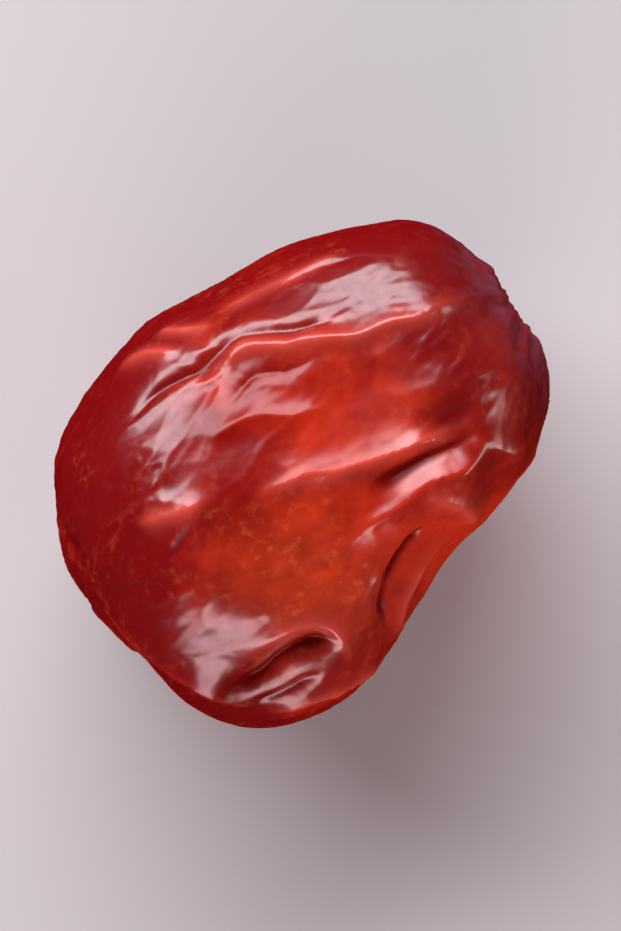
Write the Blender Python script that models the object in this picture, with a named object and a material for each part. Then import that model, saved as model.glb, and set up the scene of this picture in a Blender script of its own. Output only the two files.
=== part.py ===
"""One whole dried jujube, lying on its side at real size.

The fruit grew as one piece, so it is one closed solid. Its long axis runs near X with the stem end at +X,
and it rests on a small flat spot at Z = 0, under its middle. A plump body has the size and the outline,
and then folds, hollows and wrinkles move its skin in and out, as they did when the fruit dried.
Places and widths on the skin are written in millimetres, and MM turns the finished skin into metres.
"""

import math
from collections import namedtuple

import bmesh
import bpy
import numpy as np
from mathutils import Vector, noise

MM = 0.001

# Driving dimensions of the dried fruit, in metres.
LENGTH = 36.0 * MM
WIDTH = 29.0 * MM
HEIGHT = 26.0 * MM
FLAT_DEPTH = 0.5 * MM  # what the flat spot takes off the belly

# The outline seen from above, counterclockwise from the stem end.
OUTLINE = (
    (18.0, 1.0), (17.9, 6.6), (15.4, 10.6), (9.5, 13.0), (2.5, 14.0), (-4.0, 14.5), (-10.0, 13.0),
    (-15.0, 9.6), (-18.0, 4.0), (-17.4, -2.5), (-16.2, -8.7), (-12.5, -13.0), (-7.5, -14.5),
    (-2.8, -13.4), (4.0, -10.6), (10.5, -9.1), (15.4, -6.4), (17.6, -3.0),
)  # fmt: skip
FULLNESS = 2.3  # 2 is an ellipse, more is plumper
SHARE_ABOVE = 0.52  # of the height, above the widest level

# The stem end points a little up and to the left of +X, and the blossom end points the other way.
STEM_YAW = math.radians(4.0)
STEM_PITCH = math.radians(5.0)

# A crest stands out of the skin, and a groove goes in, so its height is below 0. The two widths are how far it
# slopes to the left and to the right of its route. A route is (x, y) on the top, or (x, turn) round the fruit,
# with the turn in degrees from the top towards +Y.
Fold = namedtuple("Fold", "height left right route")
Hollow = namedtuple("Hollow", "depth centre length width turn")

TOP_FOLDS = (
    # The long step of the upper left shoulder, and the groove that runs above it.
    Fold(0.5, 2.2, 0.5, ((-3.0, 9.1), (0.0, 9.1), (2.0, 8.6), (4.0, 7.6), (6.5, 6.2), (10.0, 5.1))),
    Fold(0.4, 1.6, 0.5, ((4.5, 7.3), (7.0, 6.0), (10.0, 5.1), (13.5, 4.1), (17.0, 3.2))),
    Fold(-0.42, 0.5, 0.6, ((-9.0, 9.6), (-6.0, 10.3), (-3.0, 10.2), (0.0, 9.9), (2.4, 9.5))),
    Fold(-0.45, 0.4, 0.7, ((0.4, 9.8), (3.2, 9.0), (5.5, 8.0), (8.0, 7.2))),
    Fold(-0.35, 0.7, 0.9, ((-2.6, 6.9), (-0.5, 7.4), (1.2, 7.3), (3.0, 6.6), (5.5, 5.6))),
    Fold(0.38, 0.9, 1.2, ((-5.6, 6.0), (-3.0, 5.4), (-0.5, 4.8), (1.5, 3.9), (4.0, 2.4))),
    # The two crests in the middle, with the slit between them.
    Fold(0.72, 1.25, 0.5, ((-5.0, 1.1), (-1.5, 0.0), (2.0, -1.25), (5.0, -2.1), (7.6, -2.75), (10.0, -3.3))),
    Fold(-0.5, 0.5, 1.1, ((2.2, -2.9), (4.7, -3.35), (8.0, -3.8), (11.5, -4.1))),
    Fold(1.3, 1.1, 2.6, ((-2.0, -6.1), (2.0, -5.2), (5.0, -4.8), (8.0, -5.1), (11.0, -5.1))),
    # Two short folds that run off them towards the rim.
    Fold(0.5, 1.2, 1.3, ((8.6, -3.6), (10.9, -5.3), (12.8, -7.0))),
    Fold(0.55, 0.8, 0.9, ((5.2, -5.0), (6.2, -6.3), (7.0, -7.7), (7.9, -9.3))),
    # The long groove of the lower right flank, and the lip beside it.
    Fold(-0.8, 0.6, 0.55, ((4.8, -6.9), (3.4, -7.3), (2.0, -7.9), (0.0, -9.2), (-1.5, -10.8), (-3.0, -13.4))),
    Fold(0.5, 0.9, 0.7, ((5.5, -8.6), (1.5, -9.9), (-0.6, -11.2), (-1.6, -13.0))),
    # The puckered hollow near the blossom end: its edge, its lip, the deep crease, a small groove and the ledge.
    Fold(1.2, 3.2, 0.9, ((-17.4, 2.0), (-16.2, -2.5), (-15.1, -5.8), (-14.0, -8.5), (-12.5, -11.5))),
    Fold(0.28, 0.8, 0.6, ((-11.5, -8.0), (-8.8, -7.8), (-6.2, -8.2), (-4.7, -9.8), (-5.3, -12.6))),
    Fold(-1.15, 1.2, 1.2, ((-14.2, -9.1), (-12.0, -9.3), (-9.0, -9.3), (-6.5, -9.6), (-4.4, -10.6))),
    Fold(-0.4, 0.45, 0.45, ((-13.2, -10.6), (-10.2, -11.2), (-6.8, -11.6))),
    Fold(0.65, 1.3, 0.5, ((-12.4, -11.6), (-9.4, -12.6), (-6.0, -13.1), (-2.0, -13.2))),
    # A short crest on the left.
    Fold(0.42, 0.8, 1.6, ((-12.1, 3.8), (-9.1, 2.8), (-6.2, 2.3))),
    # Thin folds that lie along the upper left flank.
    Fold(0.25, 0.5, 0.4, ((-7.2, 13.3), (-4.6, 12.5), (-2.4, 11.5))),
    Fold(0.2, 0.4, 0.4, ((-3.4, 13.6), (-1.6, 12.6), (0.4, 11.5))),
    Fold(0.3, 0.5, 0.5, ((0.8, 12.4), (5.0, 11.6), (10.5, 10.9))),
    Fold(-0.2, 0.4, 0.4, ((3.0, 12.2), (7.0, 11.2), (11.5, 10.2))),
)

TOP_HOLLOWS = (
    Hollow(0.7, (3.5, 3.6), 6.5, 3.0, -16.0),
    Hollow(0.15, (9.0, 3.4), 6.0, 2.6, -12.0),
    Hollow(0.5, (-2.0, -5.2), 7.0, 3.0, -8.0),
    Hollow(0.5, (9.2, -2.3), 2.3, 1.3, -10.0),
    Hollow(0.25, (9.6, -7.2), 2.0, 1.6, 30.0),
    # Swellings between the folds of the lower right flank: hollows with a depth below 0.
    Hollow(-0.3, (7.0, -8.2), 1.8, 1.1, -62.0),
    Hollow(-0.5, (11.9, -6.7), 1.4, 1.2, -40.0),
    Hollow(-0.35, (2.8, -6.3), 2.6, 1.4, 8.0),
    Hollow(-0.3, (-2.4, -9.4), 2.6, 0.9, 34.0),
    # Places that shrank nearly flat, and one that stayed full.
    Hollow(0.4, (-3.0, 9.0), 5.0, 1.4, 0.0),
    Hollow(0.6, (9.5, 7.4), 4.5, 2.2, -18.0),
    Hollow(0.12, (-6.9, 5.0), 2.2, 1.8, -25.0),
    Hollow(-1.0, (-10.6, -2.9), 5.0, 3.0, -32.0),
)

SIDE_FOLDS = (
    # The +Y flank, the belly and the -Y flank.
    Fold(-0.9, 0.9, 0.9, ((12.0, 98.0), (4.0, 104.0), (-4.0, 99.0), (-12.0, 105.0))),
    Fold(0.7, 0.8, 0.8, ((14.0, 108.0), (6.0, 113.0), (-3.0, 108.0), (-13.0, 115.0))),
    Fold(-1.2, 1.0, 1.0, ((14.0, 121.0), (6.0, 125.0), (-1.0, 119.0), (-9.0, 127.0), (-15.0, 121.0))),
    Fold(0.7, 0.8, 0.8, ((13.0, 134.0), (5.0, 138.0), (-3.0, 131.0), (-12.0, 139.0))),
    Fold(-1.0, 0.9, 0.9, ((14.0, 150.0), (8.0, 155.0), (4.0, 150.0))),
    Fold(-1.0, 0.9, 0.9, ((-5.0, 149.0), (-10.0, 156.0), (-15.5, 152.0))),
    Fold(-1.2, 0.9, 0.9, ((14.0, -121.0), (6.0, -126.0), (-1.0, -119.0), (-8.0, -127.0))),
    Fold(0.7, 0.8, 0.8, ((13.0, -108.0), (5.0, -113.0), (-2.0, -106.0), (-11.0, -114.0))),
    Fold(-1.1, 1.0, 1.0, ((12.0, -142.0), (4.0, -148.0), (-5.0, -140.0), (-14.5, -147.0))),
    Fold(-0.8, 0.8, 0.8, ((2.0, -97.0), (-4.0, -103.0), (-10.0, -96.0), (-15.5, -101.0))),
    Fold(0.5, 0.7, 0.7, ((-8.0, -106.0), (-12.5, -115.0), (-13.8, -130.0))),
    Fold(-0.8, 0.8, 0.8, ((-16.5, 20.0), (-16.8, 60.0), (-15.6, 100.0))),
)

# The stem end: a round pit in a puckered ring, with pleats drawn in to it.
FUNNEL_DEPTH = 1.5
FUNNEL_RADIUS = 2.2
PIT_DEPTH = 1.4
PIT_RADIUS = 0.95
RING_HEIGHT = 0.35
RING_RADIUS = 2.9
RING_WIDTH = 0.8
PLEATS = 13
PLEAT_HEIGHT = 0.22
PLEAT_REACH = 4.2

# The blossom end: an oval dimple with a low rim, and the small point that the flower left.
DIMPLE_DEPTH = 0.9
DIMPLE_RADIUS = 1.5
RIM_HEIGHT = 0.3
RIM_RADIUS = 2.2
POINT_HEIGHT = 0.5
POINT_RADIUS = 0.5

# What chance adds, in the same way each time.
LUMP_HEIGHT = 0.5
LUMP_SPACING = 9.0
NET_SPACING = 6.4  # a net of crests with hollows between them
NET_STRETCH = 0.5  # along the fruit, against round it
NET_TOP = 0.12  # its height on the smooth top
NET_BELOW = 0.9  # and on the belly
MEAN_RADIUS = 12.5
WAVER = 0.45
WAVER_SPACING = 3.4
CHANCE_SHIFT = (37.0, 11.0, 5.0)

ROUNDING = 6  # each step cuts every face in four
FACES = 11000

SKIN_COLOUR = (0.36, 0.016, 0.012, 1.0)
SKIN_ROUGHNESS = 0.36


def clear_scene():
    for thing in list(bpy.data.objects):
        bpy.data.objects.remove(thing)


def normalised(vectors):
    return vectors / np.linalg.norm(vectors, axis=-1, keepdims=True)


def step_up(value, low, high):
    """0 below low, 1 above high and smooth between."""
    t = np.clip((value - low) / (high - low), 0.0, 1.0)
    return t * t * (3 - 2 * t)


def smooth_curve(points, samples, closed=False):
    """Points on a Catmull-Rom curve through the given points, as rows of an array."""
    points = np.asarray(points, float)
    if closed:
        around = np.vstack((points[-1], points, points[:2]))
    else:
        around = np.vstack((2 * points[0] - points[1], points, 2 * points[-1] - points[-2]))
    share = np.linspace(0.0, 1.0, samples, endpoint=False)[:, None]
    spans = []
    for before, start, end, after in zip(around, around[1:], around[2:], around[3:]):
        bend = 2 * before - 5 * start + 4 * end - after
        twist = 3 * (start - end) + after - before
        spans.append(start + 0.5 * share * (end - before + share * (bend + share * twist)))
    return np.vstack(spans if closed else (*spans, points[-1:]))


OUTLINE_X, OUTLINE_Y = smooth_curve(OUTLINE, 40, closed=True).T


def reach(x, y):
    """How far the outline is from the middle, in the direction of (x, y) seen from above."""
    angles = np.arctan2(OUTLINE_Y, OUTLINE_X)
    return np.interp(np.arctan2(y, x), angles, np.hypot(OUTLINE_X, OUTLINE_Y), period=2 * math.pi)


def rise(z):
    """How far the body reaches above its widest level, or below it where z is below 0."""
    whole = (HEIGHT + FLAT_DEPTH) / MM
    return np.where(z > 0, whole * SHARE_ABOVE, whole * (1 - SHARE_ABOVE))


def body(directions):
    """The plump fruit before it dried: the point of its skin in each direction from its middle."""
    x, y, z = directions.T
    level = (np.hypot(x, y) / reach(x, y)) ** FULLNESS
    upright = (np.abs(z) / rise(z)) ** FULLNESS
    return directions * ((level + upright) ** (-1 / FULLNESS))[:, None]


def body_normals(directions):
    """Which way the plump skin faces, from two short steps along it."""
    points = body(directions)
    aside = normalised(np.cross(directions, (0.31, 0.17, 0.93)))
    along = np.cross(directions, aside)
    steps = [body(normalised(directions + 0.001 * side)) - points for side in (aside, along)]
    normals = normalised(np.cross(*steps))
    return normals * np.sign((normals * directions).sum(axis=1))[:, None]


def on_top(route):
    """Points of the upper skin, from (x, y)."""
    x, y = route.T
    share = np.clip(np.hypot(x, y) / reach(x, y), 0.0, 0.995)
    return np.column_stack((x, y, rise(1.0) * (1 - share**FULLNESS) ** (1 / FULLNESS)))


def round_side(route):
    """Points of the skin, from (x, turn) with the turn in degrees from the top towards +Y."""
    x, turn = route.T
    turn = np.radians(turn)
    radius = np.full(len(x), 8.0)
    for _ in range(30):
        place = np.column_stack((x, radius * np.sin(turn), radius * np.cos(turn)))
        radius *= np.linalg.norm(body(normalised(place)), axis=1) / np.linalg.norm(place, axis=1)
    return np.column_stack((x, radius * np.sin(turn), radius * np.cos(turn)))


def beside_route(points, route):
    """Each point's distance from a route, how far along it that is from 0 to 1, and 1 to its left or -1."""
    distance = np.full(len(points), np.inf)
    share = np.zeros(len(points))
    side = np.ones(len(points))
    for i, (start, end) in enumerate(zip(route, route[1:])):
        step = end - start
        t = np.clip((points - start) @ step / (step @ step), 0.0, 1.0)
        offset = points - start - t[:, None] * step
        gap = np.linalg.norm(offset, axis=1)
        closer = gap < distance
        distance[closer] = gap[closer]
        share[closer] = (i + t[closer]) / (len(route) - 1)
        side[closer] = np.sign((np.cross(step, offset) * points).sum(axis=1))[closer]
    return distance, share, side


def fold_height(points, fold, place):
    """A fold is sharp along its route, slopes away on both sides and fades towards its ends."""
    route = place(smooth_curve(fold.route, 6))
    margin = 4 * max(fold.left, fold.right)
    near = np.all((points > route.min(axis=0) - margin) & (points < route.max(axis=0) + margin), axis=1)
    distance, share, side = beside_route(points[near], route)
    width = np.where(side > 0, fold.left, fold.right)
    fade = step_up(share, 0.0, 0.3) * step_up(1 - share, 0.0, 0.3)
    height = np.zeros(len(points))
    height[near] = fold.height * fade * np.exp(-((distance / width) ** 1.35))
    return height


def hollow_height(points, hollow):
    x, y, _ = (points - on_top(np.array([hollow.centre]))).T
    turn = math.radians(hollow.turn)
    along = (x * math.cos(turn) + y * math.sin(turn)) / hollow.length
    across = (y * math.cos(turn) - x * math.sin(turn)) / hollow.width
    return np.where(points[:, 2] > 0, -hollow.depth * np.exp(-(along**2) - across**2), 0.0)


def chance(points, spacing, shift):
    """Smooth noise, from about -1 to 1 at each point."""
    places = points / spacing + np.array(CHANCE_SHIFT) * shift
    return np.array([noise.noise(Vector(place)) for place in places])


def wavered(points, size, spacing, shift):
    """The points moved a little by chance, so that folds don't run like ruled lines."""
    return points + size * np.column_stack([chance(points, spacing, shift + 0.3 * i) for i in range(3)])


def stem_axis():
    level = math.cos(STEM_PITCH)
    return np.array((level * math.cos(STEM_YAW), level * math.sin(STEM_YAW), math.sin(STEM_PITCH)))


def unrolled(points):
    """Places where folds along the fruit run straight, and close up towards both ends as they do on the skin."""
    along = points @ stem_axis()
    round_axis = points - along[:, None] * stem_axis()
    return along[:, None] * stem_axis() * NET_STRETCH + normalised(round_axis + 1e-6) * MEAN_RADIUS


def net_height(points, spacing, shift):
    """0 on the crests of a net, and down to -1 in the hollows between them."""
    places = wavered(unrolled(points), 1.5, 4.0, shift) / spacing + np.array(CHANCE_SHIFT) * shift
    hollows = np.empty(len(places))
    for i, place in enumerate(places):
        nearest, next_nearest = noise.voronoi(Vector(place))[0][:2]
        hollows[i] = next_nearest - nearest
    return -(1 - np.exp(-3.0 * hollows))


def near_end(points, tip):
    """Each point's distance from an end of the fruit, and its angle round that end."""
    axis = stem_axis()
    aside = normalised(np.cross(axis, (0.0, 0.0, 1.0)))
    offset = points - tip
    return np.linalg.norm(offset, axis=1), np.arctan2(offset @ np.cross(aside, axis), offset @ aside)


def stem_height(points):
    """The pit in its funnel, the ring round it and the pleats, and how far other folds are clear of them."""
    radius, angle = near_end(points, body(stem_axis()[None])[0])
    pit = -FUNNEL_DEPTH * np.exp(-((radius / FUNNEL_RADIUS) ** 2.6))
    pit -= PIT_DEPTH * np.exp(-((radius / PIT_RADIUS) ** 4))
    ring = RING_HEIGHT * np.exp(-(((radius - RING_RADIUS) / RING_WIDTH) ** 2))
    pleats = np.cos(PLEATS * angle + 3.0 * chance(points, 3.0, 1.3)) * (0.6 + chance(points, 2.5, 2.1))
    reached = np.exp(-(((radius - PLEAT_REACH) / 1.8) ** 2))
    return pit + ring + PLEAT_HEIGHT * reached * pleats, step_up(radius, 2.2, 6.0)


def blossom_height(points):
    """The dimple with its rim and point, and how far other folds are clear of them."""
    radius, angle = near_end(points, body(-stem_axis()[None])[0])
    radius = radius * (1 + 0.2 * np.cos(2 * angle))
    dimple = -DIMPLE_DEPTH * np.exp(-((radius / DIMPLE_RADIUS) ** 2))
    rim = RIM_HEIGHT * np.exp(-(((radius - RIM_RADIUS) / 0.5) ** 2))
    point = POINT_HEIGHT * np.exp(-((radius / POINT_RADIUS) ** 2))
    return dimple + rim + point, step_up(radius, 1.5, 4.5)


def skin_height(points, normals):
    """How far the dried skin stands off the plump body."""
    stem, clear_of_stem = stem_height(points)
    blossom, clear_of_blossom = blossom_height(points)
    below = step_up(-normals[:, 2], -0.4, 0.6)
    folds = (NET_TOP + (NET_BELOW - NET_TOP) * below) * net_height(points, NET_SPACING, 1.0)
    folds += LUMP_HEIGHT * chance(points, LUMP_SPACING, 0.5)
    loose = wavered(points, WAVER, WAVER_SPACING, 0.3)
    for fold in TOP_FOLDS:
        folds += fold_height(loose, fold, on_top)
    for fold in SIDE_FOLDS:
        folds += fold_height(loose, fold, round_side)
    for hollow in TOP_HOLLOWS:
        folds += hollow_height(points, hollow)
    return stem + blossom + folds * clear_of_stem * clear_of_blossom


def skin_points(directions):
    """The dried skin in each direction from the fruit's middle, in millimetres."""
    points = body(directions)
    normals = body_normals(directions)
    return points + normals * skin_height(points, normals)[:, None]


def fitted(points):
    """The skin at its driving dimensions in metres, with the depth of the flat spot still below Z = 0."""
    low, high = points.min(axis=0), points.max(axis=0)
    middle = np.array(((low[0] + high[0]) / 2, (low[1] + high[1]) / 2, low[2]))
    size = np.array((LENGTH, WIDTH, HEIGHT + FLAT_DEPTH))
    return (points - middle) * size / (high - low) - np.array((0.0, 0.0, FLAT_DEPTH))


def vertex_array(mesh):
    places = np.empty(len(mesh.vertices) * 3, np.float32)
    mesh.vertices.foreach_get("co", places)
    return places.reshape(-1, 3).astype(float)


def rounded_cube(steps):
    """A ball of four-sided faces that are much alike, from a cube."""
    bpy.ops.mesh.primitive_cube_add(size=2.0)
    ball = bpy.context.object
    rounding = ball.modifiers.new("rounding", "SUBSURF")
    rounding.levels = rounding.render_levels = steps
    bpy.ops.object.modifier_apply(modifier=rounding.name)
    return ball


def keep_faces(piece, count):
    """Takes faces away where the skin is smooth, and keeps them on the folds."""
    triangles = sum(len(face.vertices) - 2 for face in piece.data.polygons)
    fewer = piece.modifiers.new("fewer_faces", "DECIMATE")
    fewer.ratio = count / triangles
    bpy.ops.object.modifier_apply(modifier=fewer.name)


def cut_flat_spot(mesh_data):
    mesh = bmesh.new()
    mesh.from_mesh(mesh_data)
    whole = mesh.verts[:] + mesh.edges[:] + mesh.faces[:]
    cut = bmesh.ops.bisect_plane(mesh, geom=whole, plane_co=(0, 0, 0), plane_no=(0, 0, -1), clear_outer=True)
    rim = [part for part in cut["geom_cut"] if isinstance(part, bmesh.types.BMEdge)]
    bmesh.ops.edgeloop_fill(mesh, edges=rim)
    bmesh.ops.recalc_face_normals(mesh, faces=mesh.faces[:])
    mesh.to_mesh(mesh_data)
    mesh.free()


def skin_material():
    material = bpy.data.materials.new("dried_skin")
    material.use_nodes = True
    shader = material.node_tree.nodes["Principled BSDF"]
    shader.inputs["Base Color"].default_value = SKIN_COLOUR
    shader.inputs["Roughness"].default_value = SKIN_ROUGHNESS
    shader.inputs["Metallic"].default_value = 0.0
    return material


def make_jujube():
    jujube = rounded_cube(ROUNDING)
    jujube.name = jujube.data.name = "jujube"
    skin = skin_points(normalised(vertex_array(jujube.data)))
    jujube.data.vertices.foreach_set("co", fitted(skin).ravel())
    keep_faces(jujube, FACES)
    jujube.data.vertices.foreach_set("co", fitted(vertex_array(jujube.data)).ravel())
    cut_flat_spot(jujube.data)
    jujube.data.shade_smooth()
    jujube.data.materials.append(skin_material())


def main():
    clear_scene()
    make_jujube()


if __name__ == "__main__":
    main()
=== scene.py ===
# %% [markdown]
# A dried jujube
#
# This lesson dresses one dried jujube, the fruit that is also called a red date. The plain solid
# of the fruit is loaded first and stays as it is. Over it we make the skin that shows: its long
# folds, the fine crinkles between them, the puckered ends, and a finish that is deep red, waxy and
# a little dusty at the stem.
#
# Each part of the work has a few words like these first, and then a short cell of code.

# %% Load the solid
import math
from collections import namedtuple

import bpy
import numpy as np
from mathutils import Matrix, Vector, noise


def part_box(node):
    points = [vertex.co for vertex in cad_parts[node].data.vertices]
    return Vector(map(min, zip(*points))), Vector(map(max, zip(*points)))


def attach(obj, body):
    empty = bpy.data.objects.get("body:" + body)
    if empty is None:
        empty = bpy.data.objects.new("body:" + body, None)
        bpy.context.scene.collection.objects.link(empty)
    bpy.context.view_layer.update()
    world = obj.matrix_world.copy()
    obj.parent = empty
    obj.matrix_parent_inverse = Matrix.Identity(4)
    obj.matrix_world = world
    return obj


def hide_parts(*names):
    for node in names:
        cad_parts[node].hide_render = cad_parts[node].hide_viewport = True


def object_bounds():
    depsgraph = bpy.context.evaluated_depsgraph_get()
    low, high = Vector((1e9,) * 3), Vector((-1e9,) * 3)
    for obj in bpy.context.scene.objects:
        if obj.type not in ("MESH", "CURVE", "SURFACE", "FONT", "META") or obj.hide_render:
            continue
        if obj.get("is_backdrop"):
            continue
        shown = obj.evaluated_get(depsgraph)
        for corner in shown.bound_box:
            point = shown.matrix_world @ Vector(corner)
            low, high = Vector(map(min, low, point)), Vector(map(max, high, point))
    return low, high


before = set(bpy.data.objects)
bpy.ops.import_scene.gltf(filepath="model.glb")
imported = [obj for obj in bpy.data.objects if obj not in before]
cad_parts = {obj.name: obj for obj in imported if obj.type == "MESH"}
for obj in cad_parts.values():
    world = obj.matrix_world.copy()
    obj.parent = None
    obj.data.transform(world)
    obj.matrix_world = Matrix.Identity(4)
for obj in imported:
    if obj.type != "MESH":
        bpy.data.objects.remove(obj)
bpy.ops.object.select_all(action="DESELECT")

MM = 0.001
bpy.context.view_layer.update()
LOW, HIGH = (np.array(corner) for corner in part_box("jujube"))
print("The solid measures", np.round((HIGH - LOW) / MM, 1), "mm")

# %% [markdown]
# The camera
#
# The picture looks straight down on the fruit, with the stem end turned up from the right. A
# camera with no rotation already looks down, so it only needs a turn round the vertical. A long
# lens from further off keeps the outline true, where a short one would swell the top of such a
# small thing.

# %% Camera
PICTURE_HEIGHT = 931  # pixels
PIXELS_PER_MM = 14.6  # in the picture
ROLL = math.radians(34.6)  # between the picture's width and the fruit's length
FOCAL_LENGTH = 200.0  # millimetres, for a film 36 mm along the picture's longer side
FILM = 36.0

seen_height = PICTURE_HEIGHT / PIXELS_PER_MM * MM
middle_height = float(LOW[2] + HIGH[2]) / 2
camera_height = middle_height + seen_height * FOCAL_LENGTH / FILM
bpy.ops.object.camera_add(location=(0.0, 0.0, camera_height), rotation=(0.0, 0.0, -ROLL))
camera = bpy.context.object
camera.data.lens = FOCAL_LENGTH
camera.data.sensor_width = FILM
camera.data.clip_start = 0.01
bpy.context.scene.camera = camera
print(f"The camera is {camera_height / MM:.0f} mm up and sees {seen_height / MM:.0f} mm of height")

# %% [markdown]
# The plump body
#
# A fresh jujube is a smooth, egg-like body, and everything that makes the dried one wrinkled is a
# change to it. So the skin is worked out in two steps: a plump body that has the outline and the
# size, and then a height for each point, which says how far the dried skin stands in or out there.
# All of it is written in millimetres, and measured from the fruit's middle.
#
# The body could be a scaled ball, but this fruit is boxy and has a full shoulder. A curve through
# eighteen points gives its outline as seen from above, and a superellipse closes it over the top
# and under the belly.

# %% Outline of the body
OUTLINE = (
    (18.0, 1.0), (17.9, 6.6), (15.4, 10.6), (9.5, 13.0), (2.5, 14.0), (-4.0, 14.5), (-10.0, 13.0),
    (-15.0, 9.6), (-18.0, 4.0), (-17.4, -2.5), (-16.2, -8.7), (-12.5, -13.0), (-7.5, -14.5),
    (-2.8, -13.4), (4.0, -10.6), (10.5, -9.1), (15.4, -6.4), (17.6, -3.0),
)  # fmt: skip
OUTLINE_SAMPLES = 40  # between two of these points
FULLNESS = 2.3  # 2 is an ellipse, more is plumper
SHARE_ABOVE = 0.52  # of the height, above the widest level
FLAT_DEPTH = 0.5  # what the flat spot takes off the belly
WHOLE_HEIGHT = (HIGH[2] - LOW[2]) / MM + FLAT_DEPTH


def smooth_curve(points, samples, closed=False):
    """Points on a Catmull-Rom curve through the given points, as rows of an array."""
    points = np.asarray(points, float)
    if closed:
        around = np.vstack((points[-1], points, points[:2]))
    else:
        around = np.vstack((2 * points[0] - points[1], points, 2 * points[-1] - points[-2]))
    share = np.linspace(0.0, 1.0, samples, endpoint=False)[:, None]
    spans = []
    for before, start, end, after in zip(around, around[1:], around[2:], around[3:]):
        bend = 2 * before - 5 * start + 4 * end - after
        twist = 3 * (start - end) + after - before
        spans.append(start + 0.5 * share * (end - before + share * (bend + share * twist)))
    return np.vstack(spans if closed else (*spans, points[-1:]))


OUTLINE_X, OUTLINE_Y = smooth_curve(OUTLINE, OUTLINE_SAMPLES, closed=True).T
OUTLINE_ANGLES = np.arctan2(OUTLINE_Y, OUTLINE_X)
OUTLINE_REACH = np.hypot(OUTLINE_X, OUTLINE_Y)


def reach(x, y):
    """How far the outline is from the middle, in the direction of (x, y) seen from above."""
    return np.interp(np.arctan2(y, x), OUTLINE_ANGLES, OUTLINE_REACH, period=2 * math.pi)


print(f"The outline is {np.ptp(OUTLINE_X):.1f} by {np.ptp(OUTLINE_Y):.1f} mm")

# %% Skin of the body
ASKEW = (0.31, 0.17, 0.93)  # not along any row of the skin's points
SHORT_STEP = 0.001  # for a direction of length 1


def normalised(vectors):
    return vectors / np.linalg.norm(vectors, axis=-1, keepdims=True)


def rise(z):
    """How far the body reaches above its widest level, or below it where z is below 0."""
    return np.where(z > 0, WHOLE_HEIGHT * SHARE_ABOVE, WHOLE_HEIGHT * (1 - SHARE_ABOVE))


def body(directions):
    """The plump fruit before it dried: the point of its skin in each direction from its middle."""
    x, y, z = directions.T
    level = (np.hypot(x, y) / reach(x, y)) ** FULLNESS
    upright = (np.abs(z) / rise(z)) ** FULLNESS
    return directions * ((level + upright) ** (-1 / FULLNESS))[:, None]


def body_normals(directions):
    """Which way the plump skin faces, from two short steps along it."""
    points = body(directions)
    aside = normalised(np.cross(directions, ASKEW))
    along = np.cross(directions, aside)
    steps = [body(normalised(directions + SHORT_STEP * side)) - points for side in (aside, along)]
    normals = normalised(np.cross(*steps))
    return normals * np.sign((normals * directions).sum(axis=1))[:, None]


print(f"The body reaches {rise(1.0):.1f} mm above its widest level and {rise(-1.0):.1f} mm below")

# %% [markdown]
# Chance
#
# No fold on a fruit is as clean as a formula. Smooth noise gives each point a value that is the
# same in every run, and moving the points a little by such noise before a fold is worked out makes
# its line waver.

# %% Noise and easing
CHANCE_SHIFT = np.array((37.0, 11.0, 5.0))  # a shift of 1 reads the noise this far away
AXIS_SHIFT = 0.3  # between the noises that move a point along X, Y and Z


def step_up(value, low, high):
    """0 below low, 1 above high and smooth between."""
    t = np.clip((value - low) / (high - low), 0.0, 1.0)
    return t * t * (3 - 2 * t)


def chance(points, spacing, shift):
    """Smooth noise, from about -1 to 1 at each point."""
    places = points / spacing + CHANCE_SHIFT * shift
    return np.array([noise.noise(Vector(place)) for place in places])


def wavered(points, size, spacing, shift):
    """The points moved a little by chance, so that folds don't run like ruled lines."""
    moves = [chance(points, spacing, shift + AXIS_SHIFT * i) for i in range(3)]
    return points + size * np.column_stack(moves)


# %% [markdown]
# The folds
#
# As the flesh shrinks, the skin is too big for it and lies down in folds. Sculpting them by hand
# would suit a one-off, but here each fold is a named record: a height, how far it slopes to its
# left and right, and a route over the skin. A crest has a height above 0 and a groove has one
# below. The cross-section is a sharp ridge that fades outwards, with a narrower one on top of it
# that makes the line crisp. A hollow is an oval dent, with a length, a width and a turn in degrees
# from +X to +Y.
#
# The folds on top were placed one by one. Those round the flanks and the belly follow what such
# fruits do.

# %% Routes of the folds on top
Fold = namedtuple("Fold", "height left right route")
Hollow = namedtuple("Hollow", "depth centre length width turn")

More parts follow.
